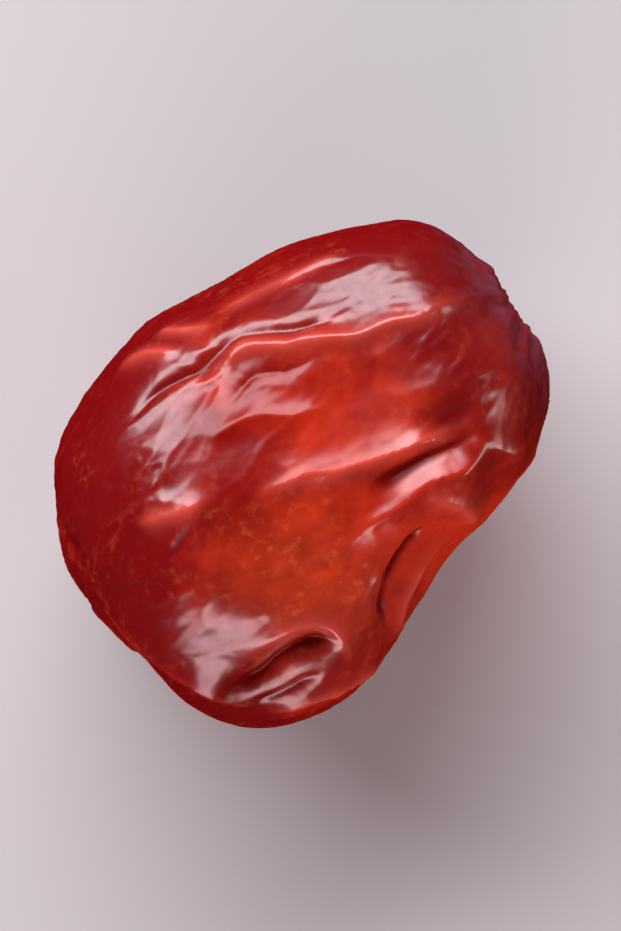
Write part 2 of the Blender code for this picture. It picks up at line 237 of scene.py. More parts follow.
TOP_FOLDS = (
    # The long step of the upper left shoulder, and the groove that runs above it.
    Fold(0.5, 2.2, 0.5, ((-3.0, 9.1), (0.0, 9.1), (2.0, 8.6), (4.0, 7.6), (6.5, 6.2), (10.0, 5.1))),
    Fold(0.4, 1.6, 0.5, ((4.5, 7.3), (7.0, 6.0), (10.0, 5.1), (13.5, 4.1), (17.0, 3.2))),
    Fold(-0.42, 0.5, 0.6, ((-9.0, 9.6), (-6.0, 10.3), (-3.0, 10.2), (0.0, 9.9), (2.4, 9.5))),
    Fold(-0.45, 0.4, 0.7, ((0.4, 9.8), (3.2, 9.0), (5.5, 8.0), (8.0, 7.2))),
    Fold(-0.35, 0.7, 0.9, ((-2.6, 6.9), (-0.5, 7.4), (1.2, 7.3), (3.0, 6.6), (5.5, 5.6))),
    Fold(0.38, 0.9, 1.2, ((-5.6, 6.0), (-3.0, 5.4), (-0.5, 4.8), (1.5, 3.9), (4.0, 2.4))),
    # The two crests in the middle, with the slit between them.
    Fold(
        0.72, 1.25, 0.5,
        ((-5.0, 1.1), (-1.5, 0.0), (2.0, -1.25), (5.0, -2.1), (7.6, -2.75), (10.0, -3.3)),
    ),
    Fold(-0.5, 0.5, 1.1, ((2.2, -2.9), (4.7, -3.35), (8.0, -3.8), (11.5, -4.1))),
    Fold(1.3, 1.1, 2.6, ((-2.0, -6.1), (2.0, -5.2), (5.0, -4.8), (8.0, -5.1), (11.0, -5.1))),
    # Two short folds that run off them towards the rim.
    Fold(0.5, 1.2, 1.3, ((8.6, -3.6), (10.9, -5.3), (12.8, -7.0))),
    Fold(0.55, 0.8, 0.9, ((5.2, -5.0), (6.2, -6.3), (7.0, -7.7), (7.9, -9.3))),
    # The long groove of the lower right flank, and the lip beside it.
    Fold(
        -0.8, 0.6, 0.55,
        ((4.8, -6.9), (3.4, -7.3), (2.0, -7.9), (0.0, -9.2), (-1.5, -10.8), (-3.0, -13.4)),
    ),
    Fold(0.5, 0.9, 0.7, ((5.5, -8.6), (1.5, -9.9), (-0.6, -11.2), (-1.6, -13.0))),
    # The puckered hollow near the blossom end: its edge, its lip, the deep crease, a small groove
    # and the ledge.
    Fold(
        1.2, 3.2, 0.9,
        ((-17.4, 2.0), (-16.2, -2.5), (-15.1, -5.8), (-14.0, -8.5), (-12.5, -11.5)),
    ),
    Fold(0.28, 0.8, 0.6, ((-11.5, -8.0), (-8.8, -7.8), (-6.2, -8.2), (-4.7, -9.8), (-5.3, -12.6))),
    Fold(
        -1.15, 1.2, 1.2,
        ((-14.2, -9.1), (-12.0, -9.3), (-9.0, -9.3), (-6.5, -9.6), (-4.4, -10.6)),
    ),
    Fold(-0.4, 0.45, 0.45, ((-13.2, -10.6), (-10.2, -11.2), (-6.8, -11.6))),
    Fold(0.65, 1.3, 0.5, ((-12.4, -11.6), (-9.4, -12.6), (-6.0, -13.1), (-2.0, -13.2))),
    # A short crest on the left.
    Fold(0.42, 0.8, 1.6, ((-12.1, 3.8), (-9.1, 2.8), (-6.2, 2.3))),
    # Thin folds that lie along the upper left flank.
    Fold(0.25, 0.5, 0.4, ((-7.2, 13.3), (-4.6, 12.5), (-2.4, 11.5))),
    Fold(0.2, 0.4, 0.4, ((-3.4, 13.6), (-1.6, 12.6), (0.4, 11.5))),
    Fold(0.3, 0.5, 0.5, ((0.8, 12.4), (5.0, 11.6), (10.5, 10.9))),
    Fold(-0.2, 0.4, 0.4, ((3.0, 12.2), (7.0, 11.2), (11.5, 10.2))),
)

TOP_HOLLOWS = (
    Hollow(0.7, (3.5, 3.6), 6.5, 3.0, -16.0),
    Hollow(0.15, (9.0, 3.4), 6.0, 2.6, -12.0),
    Hollow(0.5, (-2.0, -5.2), 7.0, 3.0, -8.0),
    Hollow(0.5, (9.2, -2.3), 2.3, 1.3, -10.0),
    Hollow(0.25, (9.6, -7.2), 2.0, 1.6, 30.0),
    # Swellings between the folds of the lower flank: hollows with a depth below 0.
    Hollow(-0.3, (7.0, -8.2), 1.8, 1.1, -62.0),
    Hollow(-0.5, (11.9, -6.7), 1.4, 1.2, -40.0),
    Hollow(-0.35, (2.8, -6.3), 2.6, 1.4, 8.0),
    Hollow(-0.3, (-2.4, -9.4), 2.6, 0.9, 34.0),
    # Places that shrank nearly flat, and one that stayed full.
    Hollow(0.4, (-3.0, 9.0), 5.0, 1.4, 0.0),
    Hollow(0.6, (9.5, 7.4), 4.5, 2.2, -18.0),
    Hollow(0.12, (-6.9, 5.0), 2.2, 1.8, -25.0),
    Hollow(-1.0, (-10.6, -2.9), 5.0, 3.0, -32.0),
)
print(len(TOP_FOLDS), "folds and", len(TOP_HOLLOWS), "hollows on top")

# %% Routes of the folds round the sides
SIDE_FOLDS = (
    # The +Y flank, the belly, the -Y flank and the blossom end. The second number of a place is
    # degrees from the top towards +Y.
    Fold(-0.9, 0.9, 0.9, ((12.0, 98.0), (4.0, 104.0), (-4.0, 99.0), (-12.0, 105.0))),
    Fold(0.7, 0.8, 0.8, ((14.0, 108.0), (6.0, 113.0), (-3.0, 108.0), (-13.0, 115.0))),
    Fold(
        -1.2, 1.0, 1.0,
        ((14.0, 121.0), (6.0, 125.0), (-1.0, 119.0), (-9.0, 127.0), (-15.0, 121.0)),
    ),
    Fold(0.7, 0.8, 0.8, ((13.0, 134.0), (5.0, 138.0), (-3.0, 131.0), (-12.0, 139.0))),
    Fold(-1.0, 0.9, 0.9, ((14.0, 150.0), (8.0, 155.0), (4.0, 150.0))),
    Fold(-1.0, 0.9, 0.9, ((-5.0, 149.0), (-10.0, 156.0), (-15.5, 152.0))),
    Fold(-1.2, 0.9, 0.9, ((14.0, -121.0), (6.0, -126.0), (-1.0, -119.0), (-8.0, -127.0))),
    Fold(0.7, 0.8, 0.8, ((13.0, -108.0), (5.0, -113.0), (-2.0, -106.0), (-11.0, -114.0))),
    Fold(-1.1, 1.0, 1.0, ((12.0, -142.0), (4.0, -148.0), (-5.0, -140.0), (-14.5, -147.0))),
    Fold(-0.8, 0.8, 0.8, ((2.0, -97.0), (-4.0, -103.0), (-10.0, -96.0), (-15.5, -101.0))),
    Fold(0.5, 0.7, 0.7, ((-8.0, -106.0), (-12.5, -115.0), (-13.8, -130.0))),
    Fold(-0.8, 0.8, 0.8, ((-16.5, 20.0), (-16.8, 60.0), (-15.6, 100.0))),
)
print(len(SIDE_FOLDS), "folds round the sides")

# %% Places on the skin
RIM_SHARE = 0.995  # of the way out to the outline, where a place that lies further out is put
FIRST_RADIUS = 8.0  # a first guess of how far the skin is from the long axis
GUESSES = 30  # each is nearer than the one before


def on_top(route):
    """Points of the upper skin, from (x, y)."""
    x, y = route.T
    share = np.clip(np.hypot(x, y) / reach(x, y), 0.0, RIM_SHARE)
    return np.column_stack((x, y, rise(1.0) * (1 - share**FULLNESS) ** (1 / FULLNESS)))


def round_side(route):
    """Points of the skin, from (x, turn) with the turn in degrees from the top towards +Y."""
    x, turn = route.T
    turn = np.radians(turn)
    radius = np.full(len(x), FIRST_RADIUS)
    for _ in range(GUESSES):
        place = np.column_stack((x, radius * np.sin(turn), radius * np.cos(turn)))
        radius *= np.linalg.norm(body(normalised(place)), axis=1) / np.linalg.norm(place, axis=1)
    return np.column_stack((x, radius * np.sin(turn), radius * np.cos(turn)))


# %% Height of a fold and of a hollow
ROUTE_SAMPLES = 6  # between two places of a route
FOLD_REACH = 4  # widths, past which a fold is too low to count
FADE_SHARE = 0.3  # of a fold's length, at each end
SLOPE_POWER = 1.35  # 2 is round on top, and less is sharper
CREASE_POWER = 1.2
CREASE_SHARE = 0.22  # of a fold's height, in its crisp inner line
CREASE_WIDTH = 0.35  # of a fold's width


def beside_route(points, route):
    """Each point's distance from a route, how far along it from 0 to 1, and 1 to its left or -1."""
    distance = np.full(len(points), np.inf)
    share = np.zeros(len(points))
    side = np.ones(len(points))
    for i, (start, end) in enumerate(zip(route, route[1:])):
        step = end - start
        t = np.clip((points - start) @ step / (step @ step), 0.0, 1.0)
        offset = points - start - t[:, None] * step
        gap = np.linalg.norm(offset, axis=1)
        closer = gap < distance
        distance[closer] = gap[closer]
        share[closer] = (i + t[closer]) / (len(route) - 1)
        side[closer] = np.sign((np.cross(step, offset) * points).sum(axis=1))[closer]
    return distance, share, side


def fold_height(points, fold, place):
    """A fold is sharp along its route, slopes away on both sides and fades towards its ends."""
    route = place(smooth_curve(fold.route, ROUTE_SAMPLES))
    margin = FOLD_REACH * max(fold.left, fold.right)
    low, high = route.min(axis=0) - margin, route.max(axis=0) + margin
    near = np.all((points > low) & (points < high), axis=1)
    distance, share, side = beside_route(points[near], route)
    width = np.where(side > 0, fold.left, fold.right)
    fade = step_up(share, 0.0, FADE_SHARE) * step_up(1 - share, 0.0, FADE_SHARE)
    slope = (1 - CREASE_SHARE) * np.exp(-((distance / width) ** SLOPE_POWER))
    crease = CREASE_SHARE * np.exp(-((distance / width / CREASE_WIDTH) ** CREASE_POWER))
    height = np.zeros(len(points))
    height[near] = fold.height * fade * (slope + crease)
    return height


def hollow_height(points, hollow):
    """An oval dent in the upper skin, or a swelling where the depth is below 0."""
    x, y, _ = (points - on_top(np.array([hollow.centre]))).T
    turn = math.radians(hollow.turn)
    along = (x * math.cos(turn) + y * math.sin(turn)) / hollow.length
    across = (y * math.cos(turn) - x * math.sin(turn)) / hollow.width
    return np.where(points[:, 2] > 0, -hollow.depth * np.exp(-(along**2) - across**2), 0.0)


# %% [markdown]
# The net of crests
#
# Between its long folds the flank of a dried fruit is covered with a net of thin crests with
# hollows between them. The edges between the cells of a Voronoi pattern make such a net: at an
# edge two cell centres are equally far away. The pattern is read in places that are unrolled round
# the fruit's axis, so that the crests run lengthwise and close up towards both ends, as skin that
# is gathered at its poles does.

# %% Net
STEM_YAW = math.radians(4.0)  # from +X towards +Y
STEM_PITCH = math.radians(5.0)  # up from there
STEM_AXIS = np.array(
    (
        math.cos(STEM_PITCH) * math.cos(STEM_YAW),
        math.cos(STEM_PITCH) * math.sin(STEM_YAW),
        math.sin(STEM_PITCH),
    )
)
NET_STRETCH = 0.5  # along the fruit, against round it
NET_SHARPNESS = 3.0  # how steeply a hollow falls from the crest beside it
MEAN_RADIUS = 12.5
OFF_AXIS = 1e-6  # so that a point on the axis has a direction too


def unrolled(points):
    """Places where folds along the fruit run straight, and close up towards both ends."""
    along = points @ STEM_AXIS
    round_axis = normalised(points - along[:, None] * STEM_AXIS + OFF_AXIS)
    return along[:, None] * STEM_AXIS * NET_STRETCH + round_axis * MEAN_RADIUS


def net_height(places, spacing, shift):
    """0 on the crests of a net, and down to -1 in the hollows between them."""
    places = places / spacing + CHANCE_SHIFT * shift
    hollows = np.empty(len(places))
    for i, place in enumerate(places):
        nearest, next_nearest = noise.voronoi(Vector(place))[0][:2]
        hollows[i] = next_nearest - nearest
    return -(1 - np.exp(-NET_SHARPNESS * hollows))


print("The stem end is at", body(STEM_AXIS[None])[0].round(1), "mm from the middle")

# %% [markdown]
# The two ends
#
# The stalk sat in a small round pit. Round it the skin is gathered in a raised ring, and pleats
# run out from that. At the other end the flower left a small point in an oval dimple. Both are
# plain functions of the distance and the angle from the end, and the other folds fade out before
# they reach them.

# %% Rings round an end
Ring = namedtuple("Ring", "height radius width power", defaults=(2.0,))

STEM_RINGS = (
    Ring(-1.5, 0.0, 2.2, 2.6),  # the funnel
    Ring(-1.4, 0.0, 0.95, 4.0),  # the pit in it
    Ring(0.35, 2.9, 0.8),  # the raised ring
)
BLOSSOM_RINGS = (
    Ring(-0.9, 0.0, 1.5),  # the dimple
    Ring(0.3, 2.2, 0.5),  # its rim
    Ring(0.5, 0.0, 0.5),  # the point that the flower left
)
PLEAT_RING = Ring(0.22, 4.2, 1.8)
FINE_PLEAT_RING = Ring(0.05, 3.2, 1.6)


def bump(radius, centre, width, power=2.0):
    """1 at a distance, and less further in and further out."""
    return np.exp(-(np.abs((radius - centre) / width) ** power))


def ring_height(radius, ring):
    return ring.height * bump(radius, ring.radius, ring.width, ring.power)


def near_end(points, tip):
    """Each point's distance from an end of the fruit, and its angle round that end."""
    aside = normalised(np.cross(STEM_AXIS, (0.0, 0.0, 1.0)))
    offset = points - tip
    angle = np.arctan2(offset @ np.cross(aside, STEM_AXIS), offset @ aside)
    return np.linalg.norm(offset, axis=1), angle


print(len(STEM_RINGS), "rings at the stem end and", len(BLOSSOM_RINGS), "at the blossom end")

# %% Stem end and blossom end
PLEATS = 13
PLEAT_SWAY = 3.0  # radians, the most that chance turns a pleat by
MEAN_PLEAT = 0.6  # of a pleat's height, to which chance adds
FINE_PLEATS = 31
FINE_PLEAT_SWAY = 4.0
OVAL = 0.2  # how much the dimple differs from a round one


def stem_height(points):
    """The funnel and pit, the ring and the pleats. Also the distance from the stem end."""
    radius, angle = near_end(points, body(STEM_AXIS[None])[0])
    turn = PLEATS * angle + PLEAT_SWAY * chance(points, spacing=3.0, shift=1.3)
    pleats = np.cos(turn) * (MEAN_PLEAT + chance(points, spacing=2.5, shift=2.1))
    fine_turn = FINE_PLEATS * angle + FINE_PLEAT_SWAY * chance(points, spacing=2.0, shift=4.3)
    pleated = ring_height(radius, PLEAT_RING) * pleats
    pleated = pleated + ring_height(radius, FINE_PLEAT_RING) * np.cos(fine_turn)
    return sum(ring_height(radius, ring) for ring in STEM_RINGS) + pleated, radius


def blossom_height(points):
    """The dimple with its rim and point. Also the distance from the blossom end."""
    radius, angle = near_end(points, body(-STEM_AXIS[None])[0])
    radius = radius * (1 + OVAL * np.cos(2 * angle))
    return sum(ring_height(radius, ring) for ring in BLOSSOM_RINGS), radius


# %% [markdown]
# Crinkles
#
# The solid stops at the folds. The eye also wants what is smaller: low crinkles a millimetre or
# two apart, that break up each highlight. They are real geometry too, because a bump in the shader
# doesn't change the outline and looks flat from the side. They are nets again, finer and lower,
# strong in some patches and weak in others, and weakest in two places on top, where the skin is
# pulled tight.

# %% Crinkles
Net = namedtuple("Net", "height spacing shift")
CRINKLES = (Net(0.16, 2.5, 2.0), Net(0.085, 1.25, 3.0))
GRAIN = 0.025
TAUT = 0.35  # how much of the crinkles is left in a weak patch
TAUT_PLACES = (((7.0, 1.5, 12.5), 5.0), ((0.2, 7.2, 11.3), 2.4))  # tight places, and their reach
TAUT_LOSS = 0.7  # of what is left, in the middle of such a place


def crinkle_height(points, below):
    """Fine nets, in patches, and stronger on the flanks and the belly."""
    clouds = chance(points, spacing=6.0, shift=5.1) + 0.35 * chance(points, spacing=2.2, shift=6.7)
    patches = step_up(clouds, low=-0.05, high=0.45)
    strength = TAUT + (1 - TAUT) * np.maximum(patches, below)
    for place, extent in TAUT_PLACES:
        strength *= 1 - TAUT_LOSS * bump(np.linalg.norm(points - place, axis=1), 0.0, extent)
    places = wavered(unrolled(points), size=0.9, spacing=2.4, shift=7.7)
    height = GRAIN * chance(points, spacing=0.6, shift=8.8)
    for net in CRINKLES:
        height += net.height * net_height(places, net.spacing, net.shift)
    return height * strength


# %% [markdown]
# The whole skin
#
# All the heights are added up. The folds and the big net are the same as on the solid, so the
# finished skin keeps its form.

# %% Height of the skin
LUMP_HEIGHT = 0.5
LUMP_SPACING = 9.0
NET_SPACING = 6.4
NET_TOP = 0.12  # depth of the net's hollows on top
NET_BELOW = 0.9  # and on the belly
BELOW = (-0.4, 0.6)  # how far the skin faces down where the belly starts and where it is whole
STEM_CLEAR = (2.2, 6.0)  # from the stem end, where the folds start and where they are whole
BLOSSOM_CLEAR = (1.5, 4.5)
CREST_HIGHLIGHT_WIDTH = 0.6  # of the painted highlight along a crest
CREST_HIGHLIGHT_BELOW = 0.8  # only a crest with a slope this narrow gets the painted highlight


def skin_height(points, normals):
    """How far the skin stands off the body, the way to each end, and 1 on a painted crest
    highlight.
    """
    stem, from_stem = stem_height(points)
    blossom, from_blossom = blossom_height(points)
    below = step_up(-normals[:, 2], *BELOW)
    places = wavered(unrolled(points), size=1.5, spacing=4.0, shift=1.0)
    folds = (NET_TOP + (NET_BELOW - NET_TOP) * below) * net_height(places, NET_SPACING, shift=1.0)
    folds += LUMP_HEIGHT * chance(points, LUMP_SPACING, shift=0.5)
    loose = wavered(points, size=0.45, spacing=3.4, shift=0.3)
    crest_highlight = np.zeros(len(points))
    for family, place in ((TOP_FOLDS, on_top), (SIDE_FOLDS, round_side)):
        for fold in family:
            folds += fold_height(loose, fold, place)
            # Narrow crests get a line along which a highlight is painted
            if fold.height > 0 and min(fold.left, fold.right) <= CREST_HIGHLIGHT_BELOW:
                line = fold._replace(height=1.0, left=CREST_HIGHLIGHT_WIDTH, right=CREST_HIGHLIGHT_WIDTH)
                crest_highlight = np.maximum(crest_highlight, fold_height(loose, line, place))
    for hollow in TOP_HOLLOWS:
        folds += hollow_height(points, hollow)
    folds += crinkle_height(points, below)
    clear = step_up(from_stem, *STEM_CLEAR) * step_up(from_blossom, *BLOSSOM_CLEAR)
    return stem + blossom + folds * clear, from_stem, from_blossom, crest_highlight * clear


# %% [markdown]
# The mesh
#
# A ball with poles would pinch the skin where its faces meet in a point. A cube that is subdivided
# seven times has no poles and nearly even square faces, so crinkles come out alike everywhere. Its
# vertices then say in which direction from the middle each point of the skin lies.

# %% Mesh
SUBDIVISIONS = 7

bpy.ops.mesh.primitive_cube_add(size=2.0)
skin = bpy.context.object
skin.name = skin.data.name = "jujube_skin"
rounding = skin.modifiers.new("rounding", "SUBSURF")
rounding.levels = rounding.render_levels = SUBDIVISIONS
bpy.ops.object.modifier_apply(modifier=rounding.name)

directions = np.empty(len(skin.data.vertices) * 3, np.float32)
skin.data.vertices.foreach_get("co", directions)
directions = normalised(directions.reshape(-1, 3).astype(float))
body_points, normals = body(directions), body_normals(directions)
height, from_stem, from_blossom, crest_highlight = skin_height(body_points, normals)
skin_points = body_points + normals * height[:, None]
print(f"{len(skin.data.polygons)} faces, {height.min():.2f} to {height.max():.2f} mm off the body")

# %% [markdown]
# The fit
#
# The fruit has to fill the solid's box exactly, and it lies on a flat spot. The points are scaled
# into the box, with a little of the belly left below the surface, and that little is pressed flat.

# %% Fit and press flat
low, high = skin_points.min(axis=0), skin_points.max(axis=0)
sunk = np.array((0.0, 0.0, FLAT_DEPTH * MM))
skin_points = (skin_points - low) / (high - low) * (HIGH - LOW + sunk) + LOW - sunk
pressed = skin_points[:, 2] < LOW[2]
skin_points[pressed, 2] = LOW[2]
skin.data.vertices.foreach_set("co", skin_points.ravel())
skin.data.update()
skin.data.shade_smooth()
print(pressed.sum(), "points are pressed flat")

# %% [markdown]
# What the finish needs to know
#
# Colour and gloss change with the shape: grooves get painted shade and dull skin, narrow crests a
# painted highlight, and a dusty bloom with a painted violet sheen lies round the stem. A shader
# can't see how deep a point lies, so that is worked out here and kept on the mesh as attributes. A
# point's height against the mean height round it says whether it is on a crest or in a groove: a
# wide mean finds the folds, and a narrow one the crinkles.

# %% Attributes
GROOVE_ROUNDS = 220  # of evening out, for a mean that is wide
GROOVE_DEPTH = 0.45  # below the mean, where a groove counts in full
CRINKLE_ROUNDS = 14
CRINKLE_DEPTH = 0.06
FLANK = (-0.8, -0.2)  # how far the skin faces down where the flank starts and where it is whole


def evened(values, edges, rounds):
    """Values at the vertices, evened out along the edges of the mesh."""
    first, second = edges.T
    neighbours = np.bincount(edges.ravel(), minlength=len(values))
    for _ in range(rounds):
        total = np.bincount(first, values[second], len(values))
        total += np.bincount(second, values[first], len(values))
        values = (values + total / neighbours) / 2
    return values


def depth_below_mean(rounds, full):
    """From -1 on the crests to 1 where the skin lies the full depth below its mean."""
    return np.clip((evened(height, edges, rounds) - height) / full, -1.0, 1.0)


def keep_on_mesh(name, values):
    attribute = skin.data.attributes.new(name, "FLOAT", "POINT")
    attribute.data.foreach_set("value", values.astype(np.float32))
    print(f"{name} is from {values.min():.2f} to {values.max():.2f}")


edges = np.empty(len(skin.data.edges) * 2, np.int32)
skin.data.edges.foreach_get("vertices", edges)
edges = edges.reshape(-1, 2)
keep_on_mesh("groove", depth_below_mean(GROOVE_ROUNDS, GROOVE_DEPTH))
keep_on_mesh("crinkle", depth_below_mean(CRINKLE_ROUNDS, CRINKLE_DEPTH))
keep_on_mesh("flank", step_up(-normals[:, 2], *FLANK))
keep_on_mesh("crest_highlight", crest_highlight)
keep_on_mesh("from_stem", from_stem)
keep_on_mesh("from_blossom", from_blossom)

# %% [markdown]
# A way to write shader maths
#
# A shader is a graph of nodes, and a graph is hard to read in code. So one small class stands for
# a value that varies over the skin, and its operators add the Math nodes. Then 1 - mask works as
# it looks. A second class makes all other nodes with one method.

# %% A varying value
class Signal:
    """A value that varies over a surface: one output socket of a node."""

    def __init__(self, shader, socket):
        self.shader = shader
        self.socket = socket

    def maths(self, operation, first, second=0.0):
        return self.shader.node("ShaderNodeMath", {"operation": operation}, {0: first, 1: second})

    def __add__(self, other):
        return self.maths("ADD", self, other)

    def __sub__(self, other):
        return self.maths("SUBTRACT", self, other)

    def __rsub__(self, other):
        return self.maths("SUBTRACT", other, self)

    def __mul__(self, other):
        return self.maths("MULTIPLY", self, other)

    __radd__ = __add__
    __rmul__ = __mul__

    def between(self, low, high):
        """0 below low, 1 above high and smooth between. With low above high it falls instead."""
        inputs = {"Value": self, "From Min": low, "From Max": high}
        return self.shader.node("ShaderNodeMapRange", {"interpolation_type": "SMOOTHSTEP"}, inputs)


# %% A material
FACTOR, FIRST_COLOUR, SECOND_COLOUR, MIXED_COLOUR = 0, 6, 7, 2  # sockets of a Mix node for colours


class Shader:
    """A material whose nodes are made by one method."""

    def __init__(self, name):
        self.material = bpy.data.materials.new(name)
        self.material.use_nodes = True
        self.nodes = self.material.node_tree.nodes
        self.links = self.material.node_tree.links
        self.surface = self.nodes["Principled BSDF"]

    def node(self, kind, settings, inputs, output=0):
        """Makes a node, with its settings first, and gives one of its outputs."""
        made = self.nodes.new(kind)
        for name, value in settings.items():
            setattr(made, name, value)
        self.feed(made, inputs)
        return Signal(self, made.outputs[output])

    def feed(self, node, inputs):
        for name, value in inputs.items():
            if isinstance(value, Signal):
                self.links.new(value.socket, node.inputs[name])
            else:
                node.inputs[name].default_value = value

    def attribute(self, name):
        return self.node("ShaderNodeAttribute", {"attribute_name": name}, {}, "Fac")

    def places(self):
        """Object coordinates in millimetres."""
        inputs = {0: self.node("ShaderNodeTexCoord", {}, {}, "Object"), "Scale": 1 / MM}
        return self.node("ShaderNodeVectorMath", {"operation": "SCALE"}, inputs)

    def cloud(self, places, spacing, detail=2.0, twist=0.0):
        """Smooth noise from 0 to 1, with lumps about this many millimetres apart."""
        inputs = {"Vector": places, "Scale": 1 / spacing, "Detail": detail, "Distortion": twist}
        return self.node("ShaderNodeTexNoise", {}, inputs, "Fac")

    def distance(self, places, centre):
        """How far each place is from a centre, in the unit of the places."""
        settings = {"operation": "DISTANCE"}
        return self.node("ShaderNodeVectorMath", settings, {0: places, 1: centre}, "Value")

    def blend(self, share, first, second):
        """The first colour, and the second where share is 1."""
        inputs = {FACTOR: share, FIRST_COLOUR: first, SECOND_COLOUR: second}
        return self.node("ShaderNodeMix", {"data_type": "RGBA"}, inputs, MIXED_COLOUR)


# %% [markdown]
# The finish
#
# The skin is a deep crimson, and more orange over the top, partly in its own tone and partly as
# painted light where the lamps fall. Painted shade, nearly black-red, lies in the folds and in the
# hollows of the crinkles, whose crests get a little painted light. Narrow crests carry a painted
# highlight of paler red, one part of the top is browner and has more flecks, and painted shade
# darkens a dip beside the middle crests and the skin near the stem end, where the bloom is partly
# a painted violet sheen. Over that lies a faint wax, so it shines softly, and least where the wax
# is rubbed thin or a fold is deep.
#
# Everything here is mixed from noise at a few sizes and from the attributes above: clouds of
# colour some millimetres across, flecks well under one, and pores that show in the shine more than
# in the colour.

# %% Colours
CRIMSON = (0.165, 0.0012, 0.0018, 1.0)
SCARLET = (0.49, 0.025, 0.0065, 1.0)
AMBER = (0.84, 0.12, 0.026, 1.0)
FLECK = (0.85, 0.20, 0.06, 1.0)
# Painted shade, nearly black-red, for grooves, crinkle hollows, a dip and the stem end
PAINTED_SHADE_RED = (0.13, 0.0010, 0.0015, 1.0)
# A painted highlight of paler red, for the narrow crests
CREST_HIGHLIGHT = (0.68, 0.09, 0.06, 1.0)
# The bloom's violet: dust, and partly a painted sheen
BLOOM_AND_SHEEN = (0.12, 0.036, 0.055, 1.0)
PIT = (0.02, 0.008, 0.006, 1.0)
SCAR = (0.30, 0.14, 0.07, 1.0)

# Places on the finished fruit, in millimetres, with Z from its resting face up. The two numbers of
# a reach are the distances where a part starts and where it is whole.
ORANGE_AND_LIGHT_CENTRE = (1.8, -2.8, 13.0)  # inside the fruit, under the part that is more orange, in its own tone and in painted light
ORANGE_AND_LIGHT_SIZE = 15.2  # about how far it reaches from there
PALE_PLACE = (-5.0, -5.5, 22.0)  # the browner part
PALE_REACH = (9.0, 0.0)
SHADED_DIP_PLACE = (9.4, -2.2, 22.5)  # painted shade in the dip beside the middle crests
SHADED_DIP_REACH = (3.4, 0.5)
WORN_PLACE = (-0.5, 2.4, 24.0)  # where the wax is rubbed thin
WORN_REACH = (9.0, 4.5)
STEM_REACH = (14.0, 6.0)  # from the stem end: the painted shade, the bloom with its painted sheen, and the pit
BLOOM_AND_SHEEN_REACH = (10.0, 3.0)
PIT_REACH = (1.6, 0.8)
SCAR_REACH = (0.9, 0.4)  # from the blossom end
print(f"The browner part reaches {PALE_REACH[0]:.0f} mm from its middle")

# %% Colour of the skin
ORANGE_AND_LIGHT_EDGE = 1.15  # of that size, past which the skin is orange only where a cloud is
ORANGE_AND_LIGHT_WEIGHT = 1.6
CLOUD_WEIGHT = 1.9
PALE_TINT = 0.05  # a tint is how much of a colour is mixed in
CLOUDED_PALE_TINT = 0.3
FLECK_TINT = 0.1
PALE_FLECK_TINT = 0.15
# Painted light on the crinkles' crests, and painted shade in their hollows
CRINKLE_LIGHT_TINT = 0.2
CRINKLE_SHADE_TINT = 0.4
CREST_HIGHLIGHT_TINT = 0.65
SHADED_DIP_TINT = 0.8
GROOVE_SHADE_TINT = 0.8


def skin_colour(shader, places, groove, crinkle):
    """Crimson and scarlet, partly painted light, with amber flecks and painted shade in the folds.
    """
    clouds = shader.cloud(places, spacing=7.0, detail=3.0, twist=0.5) * 0.7
    clouds = clouds + shader.cloud(places, spacing=1.8, detail=3.0) * 0.3
    # Orange over the top and crimson down the sides: partly the skin's own tone, partly painted
    # light
    from_orange_and_light = shader.distance(places, ORANGE_AND_LIGHT_CENTRE) * (1 / ORANGE_AND_LIGHT_SIZE)
    orange_and_light = (clouds - 0.5) * CLOUD_WEIGHT + (ORANGE_AND_LIGHT_EDGE - from_orange_and_light) * ORANGE_AND_LIGHT_WEIGHT
    colour = shader.blend(orange_and_light.between(0.0, 1.0), CRIMSON, SCARLET)
    pale = shader.distance(places, PALE_PLACE).between(*PALE_REACH)
    colour = shader.blend(pale * (PALE_TINT + CLOUDED_PALE_TINT * clouds), colour, AMBER)
    specks = shader.cloud(places, spacing=0.7, detail=3.0).between(0.5, 0.72)
    flecks = specks * shader.cloud(places, spacing=4.0).between(0.4, 0.62)
    colour = shader.blend(flecks * (FLECK_TINT + PALE_FLECK_TINT * pale), colour, FLECK)
    # Painted light on the crinkles' crests and painted shade in their hollows
    colour = shader.blend(crinkle.between(-0.2, -1.0) * CRINKLE_LIGHT_TINT, colour, SCARLET)
    colour = shader.blend(crinkle.between(0.1, 1.0) * CRINKLE_SHADE_TINT, colour, PAINTED_SHADE_RED)
    # Painted highlight along the narrow crests
    colour = shader.blend(shader.attribute("crest_highlight") * CREST_HIGHLIGHT_TINT, colour, CREST_HIGHLIGHT)
    # Painted shade in the dip beside the middle crests
    shaded_dip = shader.distance(places, SHADED_DIP_PLACE).between(*SHADED_DIP_REACH)
    colour = shader.blend(shaded_dip * SHADED_DIP_TINT, colour, PAINTED_SHADE_RED)
    # Painted shade in the grooves
    return shader.blend(groove.between(0.3, 1.1) * GROOVE_SHADE_TINT, colour, PAINTED_SHADE_RED)


# %% Relief
PORE_SPACING = 0.55  # millimetres
PORE_SIZE = 0.25  # of that spacing
LUMP_RELIEF = 1.6
GRAIN_RELIEF = 0.5
PORE_RELIEF = 0.35
BUMP_STRENGTH = 0.35
BUMP_DEPTH = 0.05  # millimetres


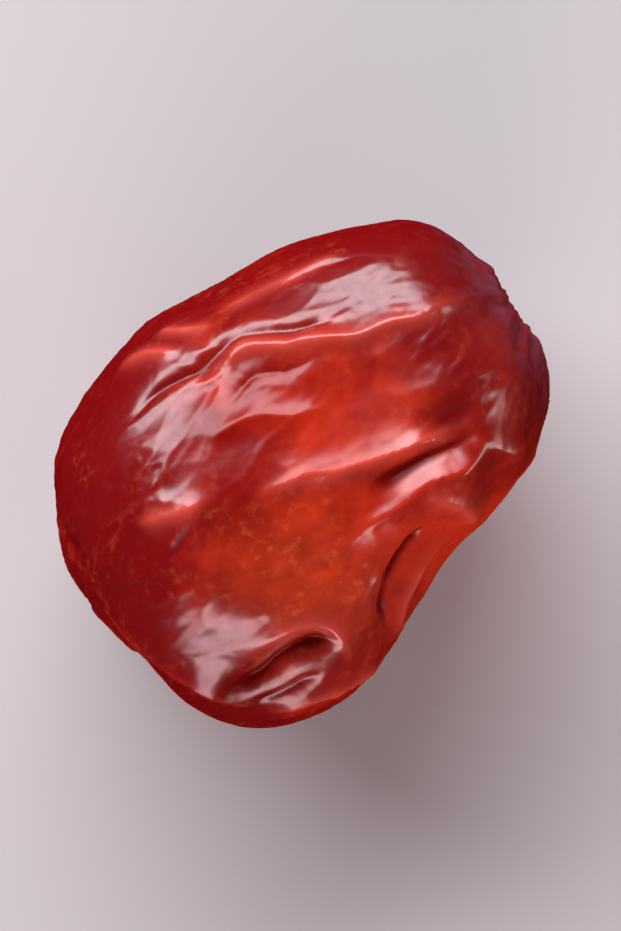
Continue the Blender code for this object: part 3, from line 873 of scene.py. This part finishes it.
def skin_relief(shader, places):
    """Pores and a fine grain, too small for the mesh."""
    inputs = {"Vector": places, "Scale": 1 / PORE_SPACING}
    pores = shader.node("ShaderNodeTexVoronoi", {}, inputs, "Distance").between(PORE_SIZE, 0.0)
    grain = shader.cloud(places, spacing=0.35, detail=3.0)
    relief = shader.cloud(places, spacing=0.9, detail=4.0, twist=0.6) * LUMP_RELIEF
    relief = relief + grain * GRAIN_RELIEF - pores * PORE_RELIEF
    inputs = {"Strength": BUMP_STRENGTH, "Distance": BUMP_DEPTH * MM, "Height": relief}
    return shader.node("ShaderNodeBump", {}, inputs)


# %% Gloss
ROUGHNESS = 0.42
CLOUD_ROUGHNESS = 0.1  # what clouds, bloom and grooves add to it
BLOOM_ROUGHNESS = 0.25
GROOVE_ROUGHNESS = 0.2
WAX = 0.95
THIN_WAX = 0.7  # the share of it in the thinnest cloud, and what clouds add
CLOUD_WAX = 0.6
BLOOM_LOSS = 0.85  # what bloom, wear, grooves and upright flanks take away
WORN_LOSS = 0.5
GROOVE_LOSS = 0.85
FLANK_LOSS = 0.5


def skin_gloss(shader, places, groove, bloom_and_sheen):
    """The roughness of the skin, and how much wax lies over it."""
    rough = ROUGHNESS + CLOUD_ROUGHNESS * shader.cloud(places, spacing=1.3, detail=3.0)
    rough = rough + BLOOM_ROUGHNESS * bloom_and_sheen + GROOVE_ROUGHNESS * groove.between(0.1, 1.0)
    wax = THIN_WAX + CLOUD_WAX * shader.cloud(places, spacing=0.9, detail=3.0)
    worn = shader.distance(places, WORN_PLACE).between(*WORN_REACH)
    wax = wax * (WAX - BLOOM_LOSS * bloom_and_sheen) * (1 - WORN_LOSS * worn)
    wax = wax * (1 - GROOVE_LOSS * groove.between(0.3, 0.9))
    return rough, wax * (1 - FLANK_LOSS * shader.attribute("flank"))


# %% Skin material
# Painted shade near the stem end, and the bloom's violet, which is partly a painted sheen
STEM_SHADE_TINT = 0.6
BLOOM_AND_SHEEN_TINT = 0.7
EVEN_BLOOM = 0.35  # of the bloom, and the rest of it lies in specks of dust
COAT_ROUGHNESS = 0.26
COAT_IOR = 1.6
SPECULAR_LEVEL = 0.0  # all the shine comes from the wax


def skin_material():
    shader = Shader("jujube_skin")
    places = shader.places()
    groove, crinkle = shader.attribute("groove"), shader.attribute("crinkle")
    from_stem, from_blossom = shader.attribute("from_stem"), shader.attribute("from_blossom")

    colour = skin_colour(shader, places, groove, crinkle)
    # Painted shade, darker towards the stem end
    colour = shader.blend(from_stem.between(*STEM_REACH) * STEM_SHADE_TINT, colour, PAINTED_SHADE_RED)
    dust = shader.cloud(places, spacing=1.6, detail=4.0, twist=0.5).between(0.35, 0.65)
    bloom_and_sheen = from_stem.between(*BLOOM_AND_SHEEN_REACH) * (EVEN_BLOOM + (1 - EVEN_BLOOM) * dust)
    # The bloom: dust, and partly a painted violet sheen
    colour = shader.blend(bloom_and_sheen * BLOOM_AND_SHEEN_TINT, colour, BLOOM_AND_SHEEN)
    colour = shader.blend(from_stem.between(*PIT_REACH), colour, PIT)
    colour = shader.blend(from_blossom.between(*SCAR_REACH), colour, SCAR)

    normal = skin_relief(shader, places)
    rough, wax = skin_gloss(shader, places, groove, bloom_and_sheen)
    surface = {"Base Color": colour, "Roughness": rough, "Normal": normal, "Coat Weight": wax}
    shader.feed(shader.surface, surface)
    shader.surface.inputs["Coat Roughness"].default_value = COAT_ROUGHNESS
    shader.surface.inputs["Coat IOR"].default_value = COAT_IOR
    shader.surface.inputs["Specular IOR Level"].default_value = SPECULAR_LEVEL
    return shader.material


skin.data.materials.append(skin_material())
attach(skin, "root")
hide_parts("jujube")
print(len(skin.data.materials[0].node_tree.nodes), "nodes in the skin's material")

# %% [markdown]
# The floor
#
# A plain pale floor, wide enough to be under every view, shows the shadow that tells the eye the
# fruit is lying down.

# %% Floor
FLOOR_COLOUR = (0.49, 0.485, 0.48, 1.0)
FLOOR_ROUGHNESS = 0.8
FLOOR_SIZE = 4.0  # metres
FLOOR_GAP = 0.02  # millimetres below the fruit, so that no two faces lie in one plane

floor_height = float(LOW[2]) - FLOOR_GAP * MM
bpy.ops.mesh.primitive_plane_add(size=FLOOR_SIZE, location=(0.0, 0.0, floor_height))
floor = bpy.context.object
floor.name = "floor"
paper = Shader("floor_paper")
paper.surface.inputs["Base Color"].default_value = FLOOR_COLOUR
paper.surface.inputs["Roughness"].default_value = FLOOR_ROUGHNESS
floor.data.materials.append(paper.material)
floor.visible_glossy = False
floor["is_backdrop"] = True
print(f"The floor is {FLOOR_SIZE:.0f} m wide")

# %% [markdown]
# The light
#
# The shine on a waxy fruit is a mirror image of the lamp, drawn over the folds. A small lamp would
# make hard glints, so the light comes from soft boxes: a big one behind the fuller shoulder, that
# draws the two long highlights there, a smaller and pinker one across from it, and a low, narrow
# one at the right of the picture, for the glints on the folds there. Each is given by where it
# stands round the fruit and by how bright its face is, and its power follows from its area.
#
# A pale floor and a pale room would be mirrored too, and would make the sides look milky. A
# photographer hides them from a glossy thing with black cards. Here they are made invisible to the
# shine, and so is the dim fourth lamp, which only lifts the shadows.

# %% A soft box
LAMP_DISTANCE = 1.20  # metres
LAMP_POWER = 4  # watts for each square metre of a lamp's face, at a brightness of 1


def soft_box(name, azimuth, elevation, width, height, brightness, colour):
    """A rectangular lamp that faces the fruit, in metres, and in degrees from +X to +Y and up."""
    azimuth, elevation = math.radians(azimuth), math.radians(elevation)
    level = math.cos(elevation)
    back = Vector((level * math.cos(azimuth), level * math.sin(azimuth), math.sin(elevation)))
    centre = Vector((0.0, 0.0, middle_height))
    facing = back.to_track_quat("Z", "Y").to_euler()
    place = centre + back * LAMP_DISTANCE
    bpy.ops.object.light_add(type="AREA", location=place, rotation=facing)
    lamp = bpy.context.object
    lamp.name = name
    lamp.visible_camera = False
    lamp.data.shape = "RECTANGLE"
    lamp.data.size, lamp.data.size_y = width, height
    lamp.data.energy = LAMP_POWER * brightness * width * height
    lamp.data.color = colour
    print(f"{name}: {lamp.data.energy:.2f} W")
    return lamp


# %% Lights
soft_box("key_light", 76.0, 33.5, 1.85, 0.72, 6.9, (0.98, 0.93, 1.0))
soft_box("side_light", 221.0, 19.0, 0.96, 0.60, 5.6, (1.0, 0.72, 0.78))
soft_box("low_light", 322.0, 8.5, 0.75, 0.24, 6.0, (1.0, 0.84, 0.87))
fill_light = soft_box("fill_light", 285.0, 35.0, 1.00, 0.80, 0.4, (1.0, 0.84, 0.82))
fill_light.visible_glossy = False

# %% Room
ROOM_COLOUR = (0.86, 0.88, 0.92, 1.0)
ROOM_BRIGHTNESS = 0.10

world = bpy.data.worlds.new("studio")
bpy.context.scene.world = world
world.use_nodes = True
background = world.node_tree.nodes["Background"]
background.inputs["Color"].default_value = ROOM_COLOUR
background.inputs["Strength"].default_value = ROOM_BRIGHTNESS
world.cycles_visibility.glossy = False
bpy.context.scene.view_settings.view_transform = "Standard"
print("The room's own light is", ROOM_BRIGHTNESS)

# %% [markdown]
# The sizes
#
# The box of the dressed fruit is worked out, and its size is printed, as the solid's was at the
# start. The dressed fruit may not be bigger than the solid.

# %% Finish
dressed_box = [list(corner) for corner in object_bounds()]
dressed_size = np.array(dressed_box[1]) - dressed_box[0]
print("The dressed fruit measures", np.round(dressed_size / MM, 2), "mm")
